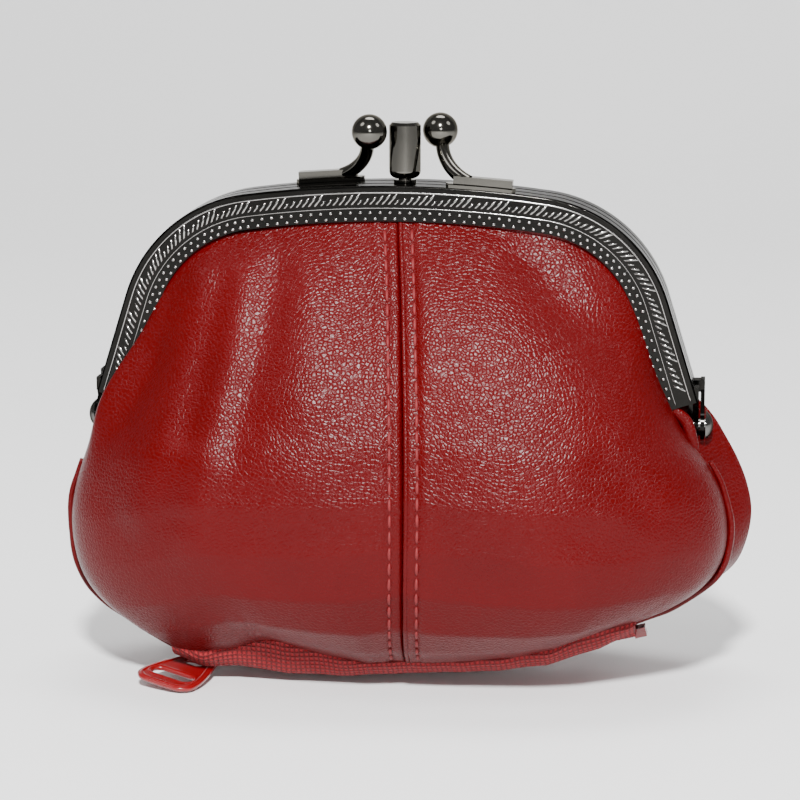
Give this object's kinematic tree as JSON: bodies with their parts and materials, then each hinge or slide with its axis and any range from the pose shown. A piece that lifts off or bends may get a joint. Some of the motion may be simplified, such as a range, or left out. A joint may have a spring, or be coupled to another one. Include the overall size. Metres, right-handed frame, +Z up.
{
  "type": "coin purse",
  "caption": "Soft leather coin purse with three arched metal frames, a kiss clasp with a middle post, two compartments and a zipped pocket along the bottom.",
  "frame": {"origin": "on the surface the purse stands on, under the middle of its overall box", "axes": "+X across the purse to its right seen from the front, +Z up, the front faces -Y"},
  "size_m": [0.1177, 0.0534, 0.0977],
  "materials": {
    "frame_metal": "polished black nickel plating over steel, with stamped dots and slanted strokes",
    "clasp_metal": "polished black nickel plating",
    "rivet_metal": "polished nickel",
    "red_leather": "soft red glazed lambskin with a fine pebbled grain",
    "lining": "woven red lining",
    "paper_cord": "twisted kraft paper cord",
    "zip_tape": "woven red polyester tape",
    "zip_coil": "red nylon coil",
    "zip_enamel": "glossy red enamel on zinc"
  },
  "bodies": {
    "purse_body": {"middle_frame": "frame_metal", "middle_right_hinge_tab": "frame_metal", "middle_left_hinge_tab": "frame_metal", "right_hinge_rivet": "rivet_metal", "left_hinge_rivet": "rivet_metal", "clasp_post": "clasp_metal", "clasp_post_collar": "clasp_metal", "middle_frame_cord": "paper_cord", "divider_panel": "lining", "front_pocket_floor": "lining", "back_pocket_floor": "lining", "front_zip_tape": "zip_tape", "back_zip_tape": "zip_tape", "front_zip_coil": "zip_coil", "back_zip_coil": "zip_coil", "left_zip_stop": "zip_enamel", "right_zip_stop": "zip_enamel", "left_gusset": "red_leather", "right_gusset": "red_leather", "front_left_panel": "red_leather", "front_right_panel": "red_leather", "back_left_panel": "red_leather", "back_right_panel": "red_leather"},
    "front_half": {"front_frame": "frame_metal", "front_right_hinge_tab": "frame_metal", "front_left_hinge_tab": "frame_metal", "front_frame_cord": "paper_cord", "front_clasp_arm": "clasp_metal", "front_clasp_ball": "clasp_metal", "front_left_panel_top": "red_leather", "front_right_panel_top": "red_leather"},
    "back_half": {"back_frame": "frame_metal", "back_right_hinge_tab": "frame_metal", "back_left_hinge_tab": "frame_metal", "back_frame_cord": "paper_cord", "back_clasp_arm": "clasp_metal", "back_clasp_ball": "clasp_metal", "back_left_panel_top": "red_leather", "back_right_panel_top": "red_leather"},
    "zip_slider": {"zip_slider_body": "zip_enamel", "zip_slider_bridge": "zip_enamel"},
    "zip_puller": {"zip_puller": "zip_enamel"}
  },
  "joints": [
    {"name": "front_frame_hinge", "type": "hinge", "parent": "purse_body", "child": "front_half", "pos_m": [0, 0, 0.045], "axis": [1, 0, 0], "range_deg": [0, 60], "deforming": ["front_left_panel_top", "front_right_panel_top"]},
    {"name": "back_frame_hinge", "type": "hinge", "parent": "purse_body", "child": "back_half", "pos_m": [0, 0, 0.045], "axis": [-1, 0, 0], "range_deg": [0, 60], "deforming": ["back_left_panel_top", "back_right_panel_top"]},
    {"name": "zip_slider_travel", "type": "hinge", "parent": "purse_body", "child": "zip_slider", "pos_m": [-0.0018, 0, 0.1726], "axis": [0, -1, 0], "range_deg": [0, 21.8]},
    {"name": "zip_puller_swivel", "type": "hinge", "parent": "zip_slider", "child": "zip_puller", "pos_m": [-0.03164, 0, 0.00273], "axis": [0.1559, 0, 0.9878], "range_deg": [-130, 0]}
  ]
}
